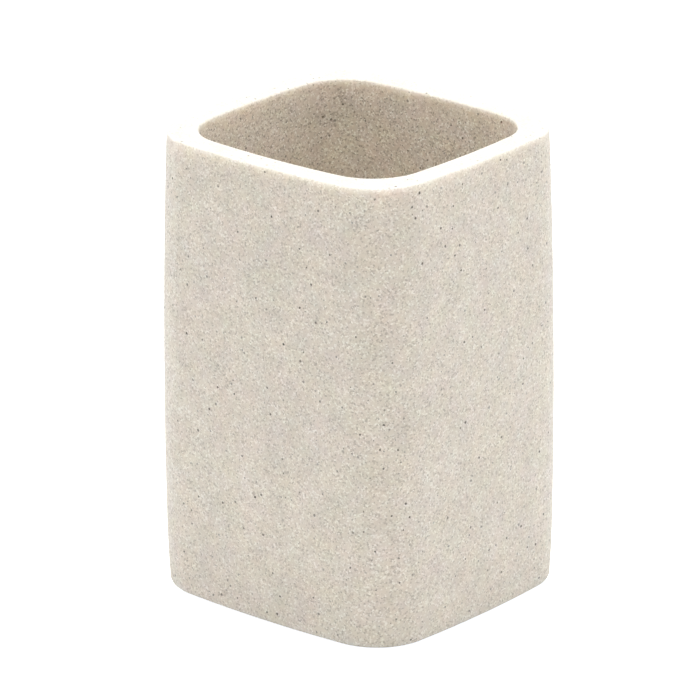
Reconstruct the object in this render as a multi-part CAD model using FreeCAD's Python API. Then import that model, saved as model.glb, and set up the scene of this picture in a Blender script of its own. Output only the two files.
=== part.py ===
import FreeCAD, Part
import math
import os

# Bathroom tumbler: a thick-walled cast cup with four bowed sides and rounded corners. It stands on
# four soft feet, each stuck with an adhesive disc into a shallow pocket in the underside.
# Millimetres. +Z is up, +X is right, -Y is the front. The origin is on the surface that the feet
# stand on, under the middle of the cup.

# Outside of the cast body
belly_width = 75.0           # side to side, at the widest level
belly_depth = 71.0           # front to back, at the widest level
body_height = 109.4          # underside to rim
belly_height = 41.0          # widest level, above the underside
rim_draw_in = 1.05           # each side leans in by this much between the widest level and the rim
base_ease_height = 16.0      # the sides start to turn in below this level above the underside
base_ease = 0.3              # extra turn-in of each side at the underside
side_radius = 285.0          # bow of each side, seen from above
corner_radius = 14.0         # upright corners, seen from above
base_edge_radius = 1.3       # rounded edge round the underside
rim_outer_edge_radius = 0.4  # rounded outer edge of the rim

# Cavity
rim_wall = 5.7               # wall at the rim, at the middle of a side
floor_thickness = 8.0        # underside to cavity floor
cavity_draft = 1.0           # degrees by which each cavity side leans in, going down
cavity_side_radius = 220.0   # bow of each cavity side, seen from above
cavity_corner_radius = 12.7  # upright corners of the cavity, seen from above
cavity_floor_radius = 9.0    # sweep from the cavity sides into its floor
rim_inner_edge_radius = 0.6  # rounded inner edge of the rim

# Feet, adhesive discs and the pockets that hold them
foot_diameter = 12.0
foot_height = 1.5
foot_edge_radius = 0.35      # rounded lower edge of a foot
foot_wall_distance = 15.0    # middle of a foot to the widest level of the two sides beside it
adhesive_thickness = 0.2     # adhesive disc between a foot and the ceiling of its pocket
adhesive_margin = 0.4        # the disc stops this far inside the edge of the foot
pocket_depth = 1.1
pocket_clearance = 0.2       # gap between a foot and the wall of its pocket

# Levels above the surface that the feet stand on
pocket_ceiling = foot_height + adhesive_thickness
underside = pocket_ceiling - pocket_depth
rim_level = underside + body_height
cavity_floor = underside + floor_thickness

quarter_turn = math.pi / 2


def side_inset(level):
    """How far each outer side stands in from its widest place, at a level above the ground."""
    height = level - underside
    lean = rim_draw_in / (body_height - belly_height) ** 2
    ease = base_ease / base_ease_height ** 2
    below_ease = max(0.0, base_ease_height - height)
    return lean * (height - belly_height) ** 2 + ease * below_ease ** 2


def cavity_inset(level):
    """How far each cavity side stands in from the widest place of the outer side beside it."""
    rim_inset = side_inset(rim_level) + rim_wall
    return rim_inset + (rim_level - level) * math.tan(math.radians(cavity_draft))


def corner_centre(half_width, half_depth, bow_radius, round_radius):
    """Centre of the corner arc that runs smoothly into the arcs of the two sides beside it."""
    reach = bow_radius - round_radius      # from this centre to the centre of either side's arc
    side_x = half_width - bow_radius       # the right side's arc is centred on (side_x, 0)
    side_y = half_depth - bow_radius       # the rear side's arc is centred on (0, side_y)
    spacing = math.hypot(side_x, side_y)
    along = math.sqrt(reach ** 2 - (spacing / 2) ** 2)
    return side_x / 2 - along * side_y / spacing, side_y / 2 - along * side_x / spacing


def on_arc(centre, radius, angle):
    """Point of an arc, seen from above."""
    return centre[0] + radius * math.cos(angle), centre[1] + radius * math.sin(angle)


def bowed_outline(inset, bow_radius, round_radius, level):
    """Closed outline at a level: four bowed sides with smooth corner arcs between them."""
    half_width = belly_width / 2 - inset
    half_depth = belly_depth / 2 - inset
    corner = corner_centre(half_width, half_depth, bow_radius, round_radius)
    right_side = (half_width - bow_radius, 0.0)
    rear_side = (0.0, half_depth - bow_radius)
    corner_start = math.atan2(corner[1], corner[0] - right_side[0])
    corner_end = math.atan2(corner[1] - rear_side[1], corner[0])
    # The rear right quarter, from the middle of the right side to the middle of the rear side
    quarter = []
    for centre, radius, start, end in (
        (right_side, bow_radius, 0.0, corner_start),
        (corner, round_radius, corner_start, corner_end),
        (rear_side, bow_radius, corner_end, quarter_turn),
    ):
        quarter.append([on_arc(centre, radius, angle) for angle in (start, (start + end) / 2, end)])
    edges = []
    for mirror_x, mirror_y in ((1, 1), (-1, 1), (-1, -1), (1, -1)):
        step = mirror_x * mirror_y         # a quarter mirrored once runs the other way round
        for points in quarter[::step]:
            places = [FreeCAD.Vector(x * mirror_x, y * mirror_y, level) for x, y in points[::step]]
            edges.append(Part.Arc(*places).toShape())
    return Part.Wire(edges)


def edges_at(shape, level):
    """Edges of a shape that lie wholly at one level."""
    tolerance = 1e-4
    flat_edges = []
    for edge in shape.Edges:
        box = edge.BoundBox
        if max(abs(box.ZMin - level), abs(box.ZMax - level)) < tolerance:
            flat_edges.append(edge)
    return flat_edges


def make_outside():
    """Outer form of the cup, through its outlines from the underside to the rim."""
    ease_end = underside + base_ease_height
    belly_level = underside + belly_height
    levels = {
        underside,
        (underside + ease_end) / 2,
        ease_end,
        belly_level,
        (belly_level + rim_level) / 2,
        rim_level,
    }
    outlines = []
    for level in sorted(levels):
        outlines.append(bowed_outline(side_inset(level), side_radius, corner_radius, level))
    outside = Part.makeLoft(outlines, True, False)
    outside = outside.makeFillet(base_edge_radius, edges_at(outside, underside))
    return outside.makeFillet(rim_outer_edge_radius, edges_at(outside, rim_level))


def make_cavity():
    """Space inside the cup, with a wide sweep between its sides and its floor."""
    outlines = []
    for level in (cavity_floor, rim_level):
        outlines.append(bowed_outline(cavity_inset(level), cavity_side_radius, cavity_corner_radius, level))
    cavity = Part.makeLoft(outlines, True, True)
    return cavity.makeFillet(cavity_floor_radius, edges_at(cavity, cavity_floor))


def rim_inner_edges(body):
    """Edges where the rim meets the cavity: those that lie nearer the middle than half the wall."""
    inset = side_inset(rim_level) + rim_wall / 2
    inner_edges = []
    for edge in edges_at(body, rim_level):
        middle = edge.CenterOfMass
        if abs(middle.x) < belly_width / 2 - inset and abs(middle.y) < belly_depth / 2 - inset:
            inner_edges.append(edge)
    return inner_edges


def disc(place, diameter, bottom, top):
    """Upright round disc between two levels."""
    return Part.makeCylinder(diameter / 2, top - bottom, FreeCAD.Vector(place[0], place[1], bottom))


def foot_places():
    """Middle of each foot, by its corner of the cup as seen from the front."""
    across = belly_width / 2 - foot_wall_distance
    along = belly_depth / 2 - foot_wall_distance
    return {
        "front_left": (-across, -along),
        "front_right": (across, -along),
        "rear_left": (-across, along),
        "rear_right": (across, along),
    }


def make_body():
    """The cast cup, with its cavity and its foot pockets."""
    body = make_outside().cut(make_cavity())
    body = body.makeFillet(rim_inner_edge_radius, rim_inner_edges(body))
    pocket_diameter = foot_diameter + 2 * pocket_clearance
    for place in foot_places().values():
        body = body.cut(disc(place, pocket_diameter, underside, pocket_ceiling))
    return body


def make_foot(place):
    """Soft round foot with a rounded lower edge."""
    foot = disc(place, foot_diameter, 0.0, foot_height)
    return foot.makeFillet(foot_edge_radius, edges_at(foot, 0.0))


def make_adhesive_disc(place):
    """Adhesive disc on top of a foot, reaching the ceiling of its pocket."""
    return disc(place, foot_diameter - 2 * adhesive_margin, foot_height, pocket_ceiling)


def main():
    nodes = {"tumbler_body": make_body()}
    for corner, place in foot_places().items():
        nodes["foot_" + corner] = make_foot(place)
        nodes["adhesive_disc_" + corner] = make_adhesive_disc(place)
    os.makedirs("parts", exist_ok=True)
    for name, shape in nodes.items():
        shape.Solids[0].exportStep("parts/" + name + ".step")
        print(name, "solids", len(shape.Solids), "valid", shape.isValid(), "volume", round(shape.Volume, 1))


main()
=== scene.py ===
import math

import bmesh
import bpy
from mathutils import Matrix, Vector, noise


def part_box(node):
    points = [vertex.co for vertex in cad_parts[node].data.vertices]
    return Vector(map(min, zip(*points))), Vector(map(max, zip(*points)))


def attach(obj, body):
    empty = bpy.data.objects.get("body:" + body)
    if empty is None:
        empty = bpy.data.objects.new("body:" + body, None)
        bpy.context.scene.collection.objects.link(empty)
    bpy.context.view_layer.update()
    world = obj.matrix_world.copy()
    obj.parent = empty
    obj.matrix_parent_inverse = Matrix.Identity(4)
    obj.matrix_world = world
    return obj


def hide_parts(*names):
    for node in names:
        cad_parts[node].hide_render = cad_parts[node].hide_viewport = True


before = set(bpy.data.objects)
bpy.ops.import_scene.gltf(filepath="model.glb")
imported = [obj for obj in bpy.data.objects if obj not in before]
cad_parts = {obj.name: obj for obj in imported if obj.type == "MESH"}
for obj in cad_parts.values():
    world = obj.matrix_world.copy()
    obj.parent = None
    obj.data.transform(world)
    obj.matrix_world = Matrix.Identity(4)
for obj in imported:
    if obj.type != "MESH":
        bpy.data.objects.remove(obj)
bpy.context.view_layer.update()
print("frame loaded with", len(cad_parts), "solids")

mm = 0.001
scene = bpy.context.scene


# small helpers for shader trees

def addNode(tree, kind, settings=None, inputs=None):
    node = tree.nodes.new(kind)
    for name, value in (settings or {}).items():
        setattr(node, name, value)
    for name, value in (inputs or {}).items():
        node.inputs[name].default_value = value
    return node


def join(tree, source, target):
    tree.links.new(source, target)


def feed(tree, value, socket):
    # a link where the value comes from another node, otherwise a fixed value
    if isinstance(value, bpy.types.NodeSocket):
        join(tree, value, socket)
    else:
        socket.default_value = value


def mathNode(tree, operation, *values, clamp=False):
    node = addNode(tree, "ShaderNodeMath", {"operation": operation, "use_clamp": clamp})
    for value, socket in zip(values, node.inputs):
        feed(tree, value, socket)
    return node.outputs["Value"]


def vectorNode(tree, operation, *values):
    node = addNode(tree, "ShaderNodeVectorMath", {"operation": operation})
    for value, socket in zip(values, node.inputs):
        feed(tree, value, socket)
    return node.outputs["Vector"]


def mixColour(tree, factor, first, second, blend="MIX"):
    node = addNode(tree, "ShaderNodeMix", {"data_type": "RGBA", "blend_type": blend})
    for index, value in ((0, factor), (6, first), (7, second)):
        feed(tree, value, node.inputs[index])
    return node.outputs[2]


def rampNode(tree, factor, stops):
    node = addNode(tree, "ShaderNodeValToRGB")
    ramp = node.color_ramp
    while len(ramp.elements) < len(stops):
        ramp.elements.new(0.5)
    for element, (position, colour) in zip(ramp.elements, stops):
        element.position = position
        element.color = (*colour, 1.0)
    join(tree, factor, node.inputs["Fac"])
    return node.outputs["Color"]


def noiseNode(tree, place, size, detail):
    node = addNode(tree, "ShaderNodeTexNoise", None, {"Scale": 1 / size, "Detail": detail})
    join(tree, place, node.inputs["Vector"])
    return node


def startMaterial(name):
    material = bpy.data.materials.new(name)
    material.use_nodes = True
    tree = material.node_tree
    tree.nodes.clear()
    output = addNode(tree, "ShaderNodeOutputMaterial")
    shader = addNode(tree, "ShaderNodeBsdfPrincipled")
    join(tree, shader.outputs["BSDF"], output.inputs["Surface"])
    place = addNode(tree, "ShaderNodeTexCoord").outputs["Object"]
    return material, tree, shader, place


# cast sandstone resin: packed sand grains, soft blotches of tint and a few dark mineral specks

sandstone = {
    "grainSize": 0.35 * mm,
    "grainDark": (0.50, 0.429, 0.349),
    "grainMid": (0.75, 0.670, 0.569),
    "grainPale": (0.94, 0.888, 0.797),
    "darkBelow": 0.24,         # share of the grains that are darker than the middle tone
    "paleAbove": 0.70,         # the grains past this share are paler
    "grainWander": 0.16 * mm,  # how far the grain borders stray
    "grainWanderSize": 0.5 * mm,
    "polishedContrast": 0.40,  # the rim is polished, so its grains hardly stand out
    "rubbedContrast": 0.83,    # the outside is rubbed smooth
    "castContrast": 1.18,      # the cavity is left as it was cast
    "blotchSize": 5.5 * mm,
    "blotchDetail": 3.0,
    "blotchRoughness": 0.6,
    "blotchTone": 0.27,        # how strongly the blotches lighten
    "blotchPink": 0.066,
    "pinkPush": (1.0, -1.0, 0.0),
    "blotchYellow": 0.12,
    "yellowPush": (0.3, 0.2, -1.0),
    "speckSpacing": 1.55 * mm,
    "speckRadius": 0.37 * mm,
    "speckColour": (0.105, 0.08, 0.052),
    "speckEdge": 0.25,         # share of the radius over which a speck fades in
    "speckFaintness": 1.2,     # higher leaves more of the specks faint
    "speckWander": 0.3 * mm,
    "speckWanderSize": 0.35 * mm,
    "roughness": 0.62,
    "roughnessSwing": 0.16,
    "grainRelief": 0.03 * mm,
    "reliefStrength": 0.8,
    "toothSize": 0.15 * mm,
    "glowWeight": 1.0,         # light that soaks through the resin and comes out again
    "glowReach": 4.0 * mm,
    "glowTint": (1.0, 1.0, 1.0),
}


def wander(tree, place, size, reach):
    # the same place, pushed about by a fine noise
    stray = noiseNode(tree, place, size, detail=1.0)
    centred = vectorNode(tree, "SUBTRACT", stray.outputs["Color"], (0.5, 0.5, 0.5))
    return vectorNode(tree, "MULTIPLY_ADD", centred, (reach, reach, reach), place)


def splitColour(tree, colour):
    node = addNode(tree, "ShaderNodeSeparateColor")
    join(tree, colour, node.inputs["Color"])
    return node.outputs["Red"], node.outputs["Green"], node.outputs["Blue"]


def cellNoise(tree, place, spacing):
    # scattered cells, each with three random values and the distance to its middle
    cells = addNode(tree, "ShaderNodeTexVoronoi", {"feature": "F1"}, {"Scale": 1 / spacing})
    join(tree, place, cells.inputs["Vector"])
    picks = addNode(tree, "ShaderNodeTexWhiteNoise", {"noise_dimensions": "3D"})
    join(tree, cells.outputs["Color"], picks.inputs["Vector"])
    return splitColour(tree, picks.outputs["Color"]), cells.outputs["Distance"]


def blotchTint(tree, place):
    # soft lighter, pinker and yellower blotches through the casting
    look = sandstone
    cloud = noiseNode(tree, place, look["blotchSize"], look["blotchDetail"])
    cloud.inputs["Roughness"].default_value = look["blotchRoughness"]
    pushes = (
        (look["blotchTone"],) * 3,
        [part * look["blotchPink"] for part in look["pinkPush"]],
        [part * look["blotchYellow"] for part in look["yellowPush"]],
    )
    tint = (1.0, 1.0, 1.0)
    for share, push in zip(splitColour(tree, cloud.outputs["Color"]), pushes):
        swing = mathNode(tree, "SUBTRACT", share, 0.5)
        tint = vectorNode(tree, "MULTIPLY_ADD", swing, push, tint)
    return tint


def sandstoneMaterial():
    material, tree, shader, place = startMaterial("sandstoneResin")
    look = sandstone

    # sand grains, each with its own tone
    grainPlace = wander(tree, place, look["grainWanderSize"], look["grainWander"])
    (grainTone, grainHeight, grainGloss), _ = cellNoise(tree, grainPlace, look["grainSize"])
    colour = rampNode(tree, grainTone, (
        (0.0, look["grainDark"]),
        (look["darkBelow"], look["grainMid"]),
        (look["paleAbove"], look["grainMid"]),
        (1.0, look["grainPale"]),
    ))
    contrast = addNode(tree, "ShaderNodeAttribute", {"attribute_name": "grainContrast"}).outputs["Fac"]
    colour = mixColour(tree, contrast, (*look["grainMid"], 1.0), colour)
    colour.node.clamp_factor = False
    colour = mixColour(tree, 1.0, colour, blotchTint(tree, place), "MULTIPLY")

    # dark specks: some cells hold one, of uneven size and depth
    speckPlace = wander(tree, place, look["speckWanderSize"], look["speckWander"])
    (speckSize, speckDepth, _), fromMiddle = cellNoise(tree, speckPlace, look["speckSpacing"])
    reach = look["speckRadius"] / look["speckSpacing"]
    inside = mathNode(tree, "SUBTRACT", mathNode(tree, "MULTIPLY", speckSize, reach), fromMiddle)
    edge = mathNode(tree, "MULTIPLY", inside, 1 / (look["speckEdge"] * reach), clamp=True)
    depth = mathNode(tree, "POWER", speckDepth, look["speckFaintness"])
    shown = mathNode(tree, "MULTIPLY", edge, depth)
    colour = mixColour(tree, shown, colour, (*look["speckColour"], 1.0))
    join(tree, colour, shader.inputs["Base Color"])

    # dull surface, a little smoother on some grains
    swing = look["roughnessSwing"]
    rough = mathNode(tree, "MULTIPLY_ADD", grainGloss, swing, look["roughness"] - swing / 2)
    join(tree, rough, shader.inputs["Roughness"])

    # light soaks a little way into the resin
    shader.inputs["Subsurface Weight"].default_value = look["glowWeight"]
    shader.inputs["Subsurface Radius"].default_value = look["glowTint"]
    shader.inputs["Subsurface Scale"].default_value = look["glowReach"]

    # relief of the grains and a finer tooth over them
    tooth = noiseNode(tree, place, look["toothSize"], detail=2.0)
    relief = mathNode(tree, "ADD", grainHeight, tooth.outputs["Fac"])
    bump = addNode(tree, "ShaderNodeBump", None, {
        "Strength": look["reliefStrength"], "Distance": look["grainRelief"]})
    join(tree, relief, bump.inputs["Height"])
    join(tree, bump.outputs["Normal"], shader.inputs["Normal"])
    return material


# the cast cup, rebuilt as even rows of faces over the same form as its solid

cup = {
    "bellyHeight": 41.0 * mm,
    "rimDrawIn": 1.05 * mm,
    "easeHeight": 16.0 * mm,
    "ease": 0.3 * mm,
    "sideRadius": 285.0 * mm,
    "cornerRadius": 14.0 * mm,
    "baseEdge": 1.3 * mm,
    "rimOuterEdge": 0.4 * mm,
    "rimWall": 5.7 * mm,
    "floorThickness": 8.0 * mm,
    "draft": math.radians(1.0),
    "cavitySideRadius": 220.0 * mm,
    "cavityCornerRadius": 12.7 * mm,
    "floorSweep": 9.0 * mm,
    "rimInnerEdge": 0.6 * mm,
    "polishReach": 2.5 * mm,  # the polish fades out this far below the rim
    "rubbedReach": 5.0 * mm,  # the cavity is as it was cast from this far below the rim
    "pocketClearance": 0.2 * mm,
    "sharpAngle": math.radians(40),  # edges that turn more than this stay crisp
    "sideSteps": 34,        # columns along half a side
    "cornerSteps": 22,      # columns round a corner
    "edgeSteps": 6,         # rows over a rounded edge
    "sweepSteps": 14,       # rows from the cavity wall into its floor
    "floorStep": 0.08,      # each row of the cavity floor is drawn in by this share
    "pocketColumns": 48,
    "rowStep": 0.95 * mm,
    "waviness": 0.05 * mm,  # how far the cast faces stray inwards
    "waveSize": 22.0 * mm,
}


def onArc(centre, radius, angle):
    return Vector((centre[0] + radius * math.cos(angle), centre[1] + radius * math.sin(angle)))


def bowedOutline(halfWidth, halfDepth, bowRadius, roundRadius):
    # four bowed sides and the corner arcs that run into them,
    # counter-clockwise from the middle of the right side
    reach = bowRadius - roundRadius
    sideX, sideY = halfWidth - bowRadius, halfDepth - bowRadius
    spacing = math.hypot(sideX, sideY)
    along = math.sqrt(reach ** 2 - (spacing / 2) ** 2)
    corner = (sideX / 2 - along * sideY / spacing, sideY / 2 - along * sideX / spacing)
    start = math.atan2(corner[1], corner[0] - sideX)
    end = math.atan2(corner[1] - sideY, corner[0])
    quarter = []
    for centre, radius, first, last, count in (
        ((sideX, 0.0), bowRadius, 0.0, start, cup["sideSteps"]),
        (corner, roundRadius, start, end, cup["cornerSteps"]),
        ((0.0, sideY), bowRadius, end, math.pi / 2, cup["sideSteps"]),
    ):
        for step in range(count):
            quarter.append(onArc(centre, radius, first + (last - first) * step / count))
    quarter.append(onArc((0.0, sideY), bowRadius, math.pi / 2))
    half = quarter + [Vector((-p.x, p.y)) for p in reversed(quarter[:-1])]
    return half + [Vector((p.x, -p.y)) for p in reversed(half[1:-1])]


def evenly(first, last, size):
    count = max(1, round(abs(last - first) / size))
    return [first + (last - first) * step / count for step in range(count + 1)]


def quarterTurns(count):
    return [math.pi / 2 * step / count for step in range(count + 1)]


def cupRows():
    # (level, outline, grain contrast) of each row: up the outside, over the rim and down the cavity
    low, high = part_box("tumbler_body")
    underside, rim = low.z, high.z
    cavityFloor = underside + cup["floorThickness"]
    rows = []

    def sideInset(level):
        up = level - underside
        lean = (up - cup["bellyHeight"]) / (rim - underside - cup["bellyHeight"])
        turnIn = max(0.0, cup["easeHeight"] - up) / cup["easeHeight"]
        return cup["rimDrawIn"] * lean ** 2 + cup["ease"] * turnIn ** 2

    def contrastAt(level, within):
        # faint on the polished rim, and in the cavity stronger down to where it is as cast
        down = rim - level
        contrast = sandstone["rubbedContrast"]
        if within:
            contrast += (sandstone["castContrast"] - contrast) * min(1.0, down / cup["rubbedReach"])
        polish = max(0.0, 1.0 - down / cup["polishReach"])
        return contrast + (sandstone["polishedContrast"] - contrast) * polish

    def addOuter(level, cutBack):
        inset = sideInset(level) + cutBack
        outline = bowedOutline(
            high.x - inset, high.y - inset, cup["sideRadius"] - cutBack, cup["cornerRadius"] - cutBack)
        rows.append((level, outline, contrastAt(level, False)))

    def addInner(level, cutBack):
        inset = cup["rimDrawIn"] + cup["rimWall"] + (rim - level) * math.tan(cup["draft"]) + cutBack
        outline = bowedOutline(
            high.x - inset, high.y - inset,
            cup["cavitySideRadius"] - cutBack, cup["cavityCornerRadius"] - cutBack)
        rows.append((level, outline, contrastAt(level, True)))

    edge = cup["baseEdge"]
    for turn in quarterTurns(cup["edgeSteps"])[:-1]:
        addOuter(underside + edge * (1 - math.cos(turn)), edge * (1 - math.sin(turn)))
    edge = cup["rimOuterEdge"]
    for level in evenly(underside + cup["baseEdge"], rim - edge, cup["rowStep"]):
        addOuter(level, 0.0)
    for turn in quarterTurns(cup["edgeSteps"])[1:]:
        addOuter(rim - edge * (1 - math.sin(turn)), edge * (1 - math.cos(turn)))

    # flat of the rim, straight across from the outer to the inner edge
    outside = rows[-1][1]
    edge = cup["rimInnerEdge"]
    addInner(rim, -edge)
    inside = rows.pop()[1]
    for share in evenly(0.0, 1.0, cup["rowStep"] / cup["rimWall"])[1:]:
        flat = [a.lerp(b, share) for a, b in zip(outside, inside)]
        rows.append((rim, flat, sandstone["polishedContrast"]))

    for turn in quarterTurns(cup["edgeSteps"])[1:]:
        addInner(rim - edge * (1 - math.cos(turn)), -edge * (1 - math.sin(turn)))
    sweep = cup["floorSweep"]
    for level in evenly(rim - edge, cavityFloor + sweep, cup["rowStep"])[1:]:
        addInner(level, 0.0)
    for turn in quarterTurns(cup["sweepSteps"])[1:]:
        addInner(cavityFloor + sweep * (1 - math.sin(turn)), sweep * (1 - math.cos(turn)))

    # cavity floor, drawn in towards its middle
    floorEdge = rows[-1][1]
    for share in evenly(1.0, 0.0, cup["floorStep"])[1:-1]:
        rows.append((cavityFloor, [point * share for point in floorEdge], sandstone["castContrast"]))
    return rows


def roughenCast(mesh):
    # slow unevenness of a casting: every point strays inwards a little, never out of the solid
    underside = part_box("tumbler_body")[0].z
    mesh.normal_update()
    moves = []
    for vert in mesh.verts:
        lift = min(1.0, max(0.0, (vert.co.z - underside) / cup["baseEdge"] - 1.0))
        stray = 0.5 + 0.5 * noise.noise(vert.co / cup["waveSize"])
        moves.append((vert, vert.normal * (cup["waviness"] * lift * stray)))
    for vert, move in moves:
        vert.co -= move


def closeUnderside(mesh, edgeRing, grainContrast):
    # flat underside with a round pocket over each foot
    underside = edgeRing[0].co.z
    count = len(edgeRing)
    borders = [mesh.edges.get((edgeRing[i], edgeRing[(i + 1) % count])) for i in range(count)]
    pocketColumns = cup["pocketColumns"]
    for corner in footCorners:
        low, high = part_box("foot_" + corner)
        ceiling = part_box("adhesive_disc_" + corner)[1].z
        middle = (low + high) / 2
        radius = (high.x - low.x) / 2 + cup["pocketClearance"]
        mouth, top = [], []
        for column in range(pocketColumns):
            spot = onArc(middle, radius, math.tau * column / pocketColumns)
            mouth.append(mesh.verts.new((*spot, underside)))
            top.append(mesh.verts.new((*spot, ceiling)))
        for vert in mouth + top:
            vert[grainContrast] = sandstone["rubbedContrast"]
        for column in range(pocketColumns):
            after = (column + 1) % pocketColumns
            wall = mesh.faces.new((mouth[after], mouth[column], top[column], top[after]))
            borders.append(mesh.edges.get((wall.verts[0], wall.verts[1])))
        mesh.faces.new(top)
    bmesh.ops.triangle_fill(mesh, edges=borders, use_beauty=True)


def buildCup(material):
    rows = cupRows()
    mesh = bmesh.new()
    grainContrast = mesh.verts.layers.float.new("grainContrast")
    rings = []
    for level, outline, contrast in rows:
        rings.append([mesh.verts.new((*point, level)) for point in outline])
        for vert in rings[-1]:
            vert[grainContrast] = contrast
    columns = len(rings[0])
    for below, above in zip(rings, rings[1:]):
        for column in range(columns):
            after = (column + 1) % columns
            mesh.faces.new((below[column], below[after], above[after], above[column]))
    middle = mesh.verts.new((0.0, 0.0, rows[-1][0]))
    middle[grainContrast] = sandstone["castContrast"]
    for column in range(columns):
        mesh.faces.new((rings[-1][column], rings[-1][(column + 1) % columns], middle))
    roughenCast(mesh)
    closeUnderside(mesh, rings[0], grainContrast)
    bmesh.ops.recalc_face_normals(mesh, faces=mesh.faces)
    for face in mesh.faces:
        face.smooth = True
    data = bpy.data.meshes.new("sandstoneCup")
    mesh.to_mesh(data)
    mesh.free()
    data.set_sharp_from_angle(angle=cup["sharpAngle"])
    data.materials.append(material)
    piece = bpy.data.objects.new("sandstoneCup", data)
    scene.collection.objects.link(piece)
    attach(piece, "root")
    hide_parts("tumbler_body")
    print("cup built with", len(data.polygons), "faces")


# soft feet and the adhesive discs that hold them

footCorners = ("front_left", "front_right", "rear_left", "rear_right")

silicone = {
    "clear": (0.60, 0.60, 0.57),
    "cloudy": (0.50, 0.50, 0.475),
    "cloudSize": 2.5 * mm,
    "cloudyBelow": 0.35,
    "clearAbove": 0.65,
    "soakWeight": 0.25,  # light that soaks into the silicone
    "soakReach": (0.8 * mm, 0.8 * mm, 0.7 * mm),
    "toothSize": 0.18 * mm,
    "tooth": 0.02 * mm,
    "toothStrength": 0.4,
    "roughness": 0.42,
    "roughnessSwing": 0.2,
}

adhesive = {
    "film": (0.78, 0.75, 0.66),
    "wet": (0.70, 0.67, 0.57),
    "patchSize": 1.4 * mm,
    "wetBelow": 0.42,
    "filmAbove": 0.58,
    "roughness": 0.28,
}


def siliconeMaterial():
    material, tree, shader, place = startMaterial("footSilicone")
    look = silicone
    cloud = noiseNode(tree, place, look["cloudSize"], detail=4.0).outputs["Fac"]
    stops = ((look["cloudyBelow"], look["cloudy"]), (look["clearAbove"], look["clear"]))
    join(tree, rampNode(tree, cloud, stops), shader.inputs["Base Color"])
    swing = look["roughnessSwing"]
    rough = mathNode(tree, "MULTIPLY_ADD", cloud, swing, look["roughness"] - swing / 2)
    join(tree, rough, shader.inputs["Roughness"])
    shader.inputs["Subsurface Weight"].default_value = look["soakWeight"]
    shader.inputs["Subsurface Radius"].default_value = look["soakReach"]
    shader.inputs["Subsurface Scale"].default_value = 1.0
    tooth = noiseNode(tree, place, look["toothSize"], detail=2.0)
    bump = addNode(tree, "ShaderNodeBump", None, {
        "Strength": look["toothStrength"], "Distance": look["tooth"]})
    join(tree, tooth.outputs["Fac"], bump.inputs["Height"])
    join(tree, bump.outputs["Normal"], shader.inputs["Normal"])
    return material


def adhesiveMaterial():
    material, tree, shader, place = startMaterial("adhesiveFilm")
    look = adhesive
    patches = noiseNode(tree, place, look["patchSize"], detail=3.0).outputs["Fac"]
    stops = ((look["wetBelow"], look["wet"]), (look["filmAbove"], look["film"]))
    join(tree, rampNode(tree, patches, stops), shader.inputs["Base Color"])
    shader.inputs["Roughness"].default_value = look["roughness"]
    return material


def dressFeet():
    footLook, filmLook = siliconeMaterial(), adhesiveMaterial()
    for corner in footCorners:
        for node, look in (("foot_" + corner, footLook), ("adhesive_disc_" + corner, filmLook)):
            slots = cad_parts[node].data.materials
            slots.clear()
            slots.append(look)
    print("feet and adhesive discs dressed")


# pale studio floor, soft panels and an even white surround

floor = {
    "halfSize": 4.0,
    "level": -0.02 * mm,      # just clear of the feet
    "pale": (0.80, 0.80, 0.80),
    "paler": (0.83, 0.83, 0.83),
    "glow": 1.0,              # the camera sees it lit from below, like a light table
    "mottleSize": 0.25,
    "paleBelow": 0.3,
    "palerAbove": 0.7,
    "roughness": 0.8,
}

surround = {
    "colour": (1.0, 1.03, 1.058),
    "strength": 0.484,
    "glow": 0.6,              # the camera sees it whiter than it lights
}

# places are seen from the camera: turn is degrees to its right round the cup, rise is degrees up
panels = (
    {"name": "topPanel", "turn": 0.0, "rise": 89.0, "away": 1.3, "size": (0.9, 0.9), "power": 17.9},
    {"name": "rearLeftPanel", "turn": -120.0, "rise": 30.0, "away": 1.4, "size": (0.8, 0.8), "power": 3.8},
    {"name": "rightPanel", "turn": 75.0, "rise": 15.0, "away": 1.4, "size": (0.8, 0.8), "power": 0.45},
    {"name": "rearRightPanel", "turn": 120.0, "rise": 30.0, "away": 1.4, "size": (0.8, 0.8), "power": 3.8},
)


def cameraRay(tree):
    return addNode(tree, "ShaderNodeLightPath").outputs["Is Camera Ray"]


def buildFloor():
    material, tree, shader, place = startMaterial("studioFloor")
    mottle = noiseNode(tree, place, floor["mottleSize"], detail=2.0).outputs["Fac"]
    stops = ((floor["paleBelow"], floor["pale"]), (floor["palerAbove"], floor["paler"]))
    join(tree, rampNode(tree, mottle, stops), shader.inputs["Base Color"])
    shader.inputs["Roughness"].default_value = floor["roughness"]
    shader.inputs["Emission Color"].default_value = (*surround["colour"], 1.0)
    shown = mathNode(tree, "MULTIPLY", cameraRay(tree), floor["glow"])
    join(tree, shown, shader.inputs["Emission Strength"])
    mesh = bmesh.new()
    bmesh.ops.create_grid(mesh, x_segments=2, y_segments=2, size=floor["halfSize"])
    data = bpy.data.meshes.new("studioFloor")
    mesh.to_mesh(data)
    mesh.free()
    data.materials.append(material)
    sheet = bpy.data.objects.new("studioFloor", data)
    sheet.location.z = floor["level"]
    scene.collection.objects.link(sheet)
    print("floor laid")


def direction(azimuth, rise):
    a, e = math.radians(azimuth), math.radians(rise)
    return Vector((math.sin(a) * math.cos(e), -math.cos(a) * math.cos(e), math.sin(e)))


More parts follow.
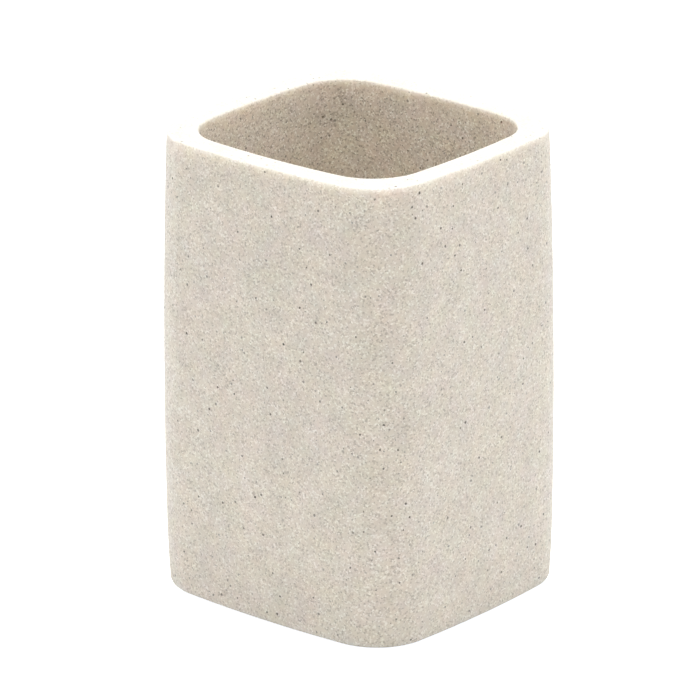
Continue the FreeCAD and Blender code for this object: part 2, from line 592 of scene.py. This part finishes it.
def lightStudio(target):
    world = bpy.data.worlds.new("whiteSurround")
    world.use_nodes = True
    tree = world.node_tree
    background = tree.nodes["Background"]
    background.inputs["Color"].default_value = (*surround["colour"], 1.0)
    shown = mathNode(tree, "MULTIPLY_ADD", cameraRay(tree), surround["glow"], surround["strength"])
    join(tree, shown, background.inputs["Strength"])
    scene.world = world
    for panel in panels:
        light = bpy.data.lights.new(panel["name"], "AREA")
        light.shape = "RECTANGLE"
        light.size, light.size_y = panel["size"]
        light.energy = panel["power"]
        light.color = surround["colour"]
        lamp = bpy.data.objects.new(panel["name"], light)
        back = direction(photoView["azimuth"] + panel["turn"], panel["rise"])
        lamp.location = target + back * panel["away"]
        lamp.rotation_mode = "QUATERNION"
        lamp.rotation_quaternion = (-back).to_track_quat("-Z", "Y")
        lamp.visible_camera = False
        scene.collection.objects.link(lamp)
    print("studio lit with", len(panels), "panels")


# camera, at the angle and framing of the photo

photoView = {
    "azimuth": 40.54,
    "elevation": 20.22,
    "roll": -0.30,
    "distance": 1.5295,
    "focalPixels": 6699.0,   # focal length in pixels of the picture
    "pictureSide": 700,
    "sensorWidth": 36.0,
    "clip": (0.05, 50.0),    # nearest and farthest that the camera sees
    "cupMiddle": (359.1, 354.7),  # where the middle of the cup lies in the picture
}


def placeCamera(target):
    view = photoView
    data = bpy.data.cameras.new("photoCamera")
    data.sensor_width = view["sensorWidth"]
    data.lens = data.sensor_width * view["focalPixels"] / view["pictureSide"]
    data.clip_start, data.clip_end = view["clip"]
    camera = bpy.data.objects.new("photoCamera", data)
    back = direction(view["azimuth"], view["elevation"])
    turned = (-back).to_track_quat("-Z", "Y").to_matrix()
    pixel = view["distance"] / view["focalPixels"]
    across = (view["cupMiddle"][0] - view["pictureSide"] / 2) * pixel
    down = (view["cupMiddle"][1] - view["pictureSide"] / 2) * pixel
    spin = Matrix.Rotation(math.radians(view["roll"]), 3, "Z")
    aim = turned @ spin
    camera.location = target + back * view["distance"] - aim.col[0] * across + aim.col[1] * down
    camera.rotation_mode = "QUATERNION"
    camera.rotation_quaternion = aim.to_quaternion()
    scene.collection.objects.link(camera)
    scene.camera = camera
    print("camera placed")


def main():
    low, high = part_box("tumbler_body")
    middle = (low + high) / 2
    scene.view_settings.view_transform = "Standard"
    buildCup(sandstoneMaterial())
    dressFeet()
    buildFloor()
    lightStudio(middle)
    placeCamera(middle)


main()
